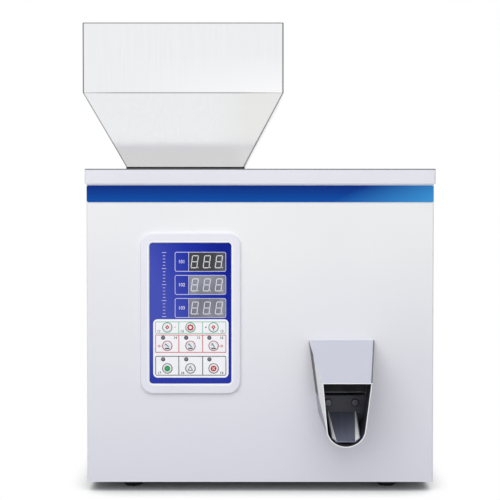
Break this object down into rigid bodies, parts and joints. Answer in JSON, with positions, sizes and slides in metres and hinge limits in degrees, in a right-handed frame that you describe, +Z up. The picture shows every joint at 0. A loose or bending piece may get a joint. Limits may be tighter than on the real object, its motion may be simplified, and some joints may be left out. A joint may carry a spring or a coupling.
{
  "type": "powder filling machine",
  "caption": "Bench-top powder filler: square hopper, vibrating feed tray, weighing bucket with a solenoid flap, chute and spout, keypad with displays, hinged side door.",
  "frame": {"origin": "bottom centre of the whole machine, on the surface it stands on", "axes": "+Z up, the operator stands at -Y, the discharge spout points to -Y, +X to the operator's right"},
  "size_m": [0.359, 0.27, 0.4694],
  "materials": {
    "powder_coat": "satin pale grey powder coat",
    "zinc_sheet": "bright zinc plate",
    "stainless": "fine brushed stainless steel",
    "dark_stainless": "polished stainless steel, in the spout's shade",
    "steel": "machined steel",
    "spring_steel": "blued spring steel",
    "aluminium": "machined",
    "cast_iron": "painted dark grey",
    "core_iron": "varnished laminations",
    "copper_coil": "varnished winding",
    "black_rubber": "matt",
    "blue_strip": "smooth blue film",
    "bezel_plastic": "fine moulded texture",
    "blue_film": "satin printed film",
    "key_plastic": "smooth",
    "display_plastic": "dark window",
    "lamp_plastic": "translucent red",
    "board_green": "solder resist",
    "black_plastic": "moulded",
    "supply_case": "zinc-plated cover",
    "screw_steel": "bright zinc plate"
  },
  "bodies": {
    "case": {"case_wrap": "powder_coat", "base_pan": "zinc_sheet", "rear_panel": "powder_coat", "lid": "powder_coat", "front_strip": "blue_strip", "rubber_feet": "black_rubber", "case_fasteners": "screw_steel", "door_hinges": "steel", "door_magnet": "black_plastic", "hopper_gasket": "black_rubber", "vibrator_base": "cast_iron", "lower_clamps": "steel", "magnet_core": "core_iron", "magnet_coil": "copper_coil", "rubber_mounts": "black_rubber", "vibrator_stand": "zinc_sheet", "weigh_bucket": "stainless", "flap_pin": "steel", "weigh_cradle": "aluminium", "load_cell": "aluminium", "load_cell_post": "aluminium", "solenoid_body": "core_iron", "solenoid_bracket": "zinc_sheet", "inner_chute": "stainless", "spout_shell": "stainless", "spout_tongue": "dark_stainless", "panel_housing": "bezel_plastic", "keypad_overlay": "blue_film", "display_modules": "display_plastic", "indicator_leds": "lamp_plastic", "control_board": "board_green", "power_inlet": "black_plastic", "rocker_body": "black_plastic", "fuse_holder": "black_plastic", "pedal_jack": "steel", "power_supply": "supply_case"},
    "hopper_body": {"hopper": "stainless", "gate_nuts": "steel"},
    "gate_body": {"flow_gate": "stainless"},
    "tray_body": {"feed_tray": "stainless", "tray_block": "aluminium", "armature_plate": "core_iron", "upper_clamps": "steel", "leaf_springs": "spring_steel"},
    "flap_body": {"bucket_flap": "stainless"},
    "plunger_body": {"solenoid_plunger": "steel"},
    "door_body": {"side_door": "powder_coat", "hinge_door_leaves": "steel", "door_knob": "black_plastic"},
    "rocker_body_moving": {"rocker_key": "black_plastic"},
    "fuse_body": {"fuse_cap": "black_plastic"},
    "key_minus_body": {"key_minus": "key_plastic"},
    "key_set_body": {"key_set": "key_plastic"},
    "key_plus_body": {"key_plus": "key_plastic"},
    "key_fast_body": {"key_fast": "key_plastic"},
    "key_medium_body": {"key_medium": "key_plastic"},
    "key_slow_body": {"key_slow": "key_plastic"},
    "key_start_body": {"key_start": "key_plastic"},
    "key_empty_body": {"key_empty": "key_plastic"},
    "key_stop_body": {"key_stop": "key_plastic"}
  },
  "joints": [
    {"name": "hopper_lift", "type": "slide", "parent": "case", "child": "hopper_body", "axis": [0, 0, 1], "range_m": [0, 0.06]},
    {"name": "gate_slide", "type": "slide", "parent": "hopper_body", "child": "gate_body", "axis": [0, 0, 1], "range_m": [0, 0.015]},
    {"name": "tray_vibration", "type": "slide", "parent": "case", "child": "tray_body", "axis": [0.9397, 0, 0.342], "range_m": [-0.0008, 0.0008], "stiffness_N_per_m": 60000, "deforming": ["leaf_springs"]},
    {"name": "flap_hinge", "type": "hinge", "parent": "case", "child": "flap_body", "pos_m": [0.07915, 0.034, 0.219], "axis": [1, 0, 0], "range_deg": [0, 50], "stiffness_Nm_per_rad": 0.02, "springref_deg": -45.84},
    {"name": "plunger_slide", "type": "slide", "parent": "case", "child": "plunger_body", "axis": [0, 0, 1], "range_m": [0, 0.0175]},
    {"name": "door_hinge", "type": "hinge", "parent": "case", "child": "door_body", "pos_m": [0.17395, 0.0965, 0.177], "axis": [0, 0, 1], "range_deg": [0, 120]},
    {"name": "rocker_hinge", "type": "hinge", "parent": "case", "child": "rocker_body_moving", "pos_m": [0.07565, 0.124, 0.048], "axis": [0, 0, 1], "range_deg": [-20, 0]},
    {"name": "fuse_cap_turn", "type": "hinge", "parent": "case", "child": "fuse_body", "pos_m": [0.04165, 0.13, 0.048], "axis": [0, 1, 0], "range_deg": [0, 90]},
    {"name": "key_minus_press", "type": "slide", "parent": "case", "child": "key_minus_body", "axis": [0, 1, 0], "range_m": [0, 0.0008], "stiffness_N_per_m": 500},
    {"name": "key_set_press", "type": "slide", "parent": "case", "child": "key_set_body", "axis": [0, 1, 0], "range_m": [0, 0.0008], "stiffness_N_per_m": 500},
    {"name": "key_plus_press", "type": "slide", "parent": "case", "child": "key_plus_body", "axis": [0, 1, 0], "range_m": [0, 0.0008], "stiffness_N_per_m": 500},
    {"name": "key_fast_press", "type": "slide", "parent": "case", "child": "key_fast_body", "axis": [0, 1, 0], "range_m": [0, 0.0008], "stiffness_N_per_m": 500},
    {"name": "key_medium_press", "type": "slide", "parent": "case", "child": "key_medium_body", "axis": [0, 1, 0], "range_m": [0, 0.0008], "stiffness_N_per_m": 500},
    {"name": "key_slow_press", "type": "slide", "parent": "case", "child": "key_slow_body", "axis": [0, 1, 0], "range_m": [0, 0.0008], "stiffness_N_per_m": 500},
    {"name": "key_start_press", "type": "slide", "parent": "case", "child": "key_start_body", "axis": [0, 1, 0], "range_m": [0, 0.0008], "stiffness_N_per_m": 500},
    {"name": "key_empty_press", "type": "slide", "parent": "case", "child": "key_empty_body", "axis": [0, 1, 0], "range_m": [0, 0.0008], "stiffness_N_per_m": 500},
    {"name": "key_stop_press", "type": "slide", "parent": "case", "child": "key_stop_body", "axis": [0, 1, 0], "range_m": [0, 0.0008], "stiffness_N_per_m": 500}
  ],
  "couplings": [
    {"joint": "plunger_slide", "follows": "flap_hinge", "m_per_rad": 0.019371}
  ]
}
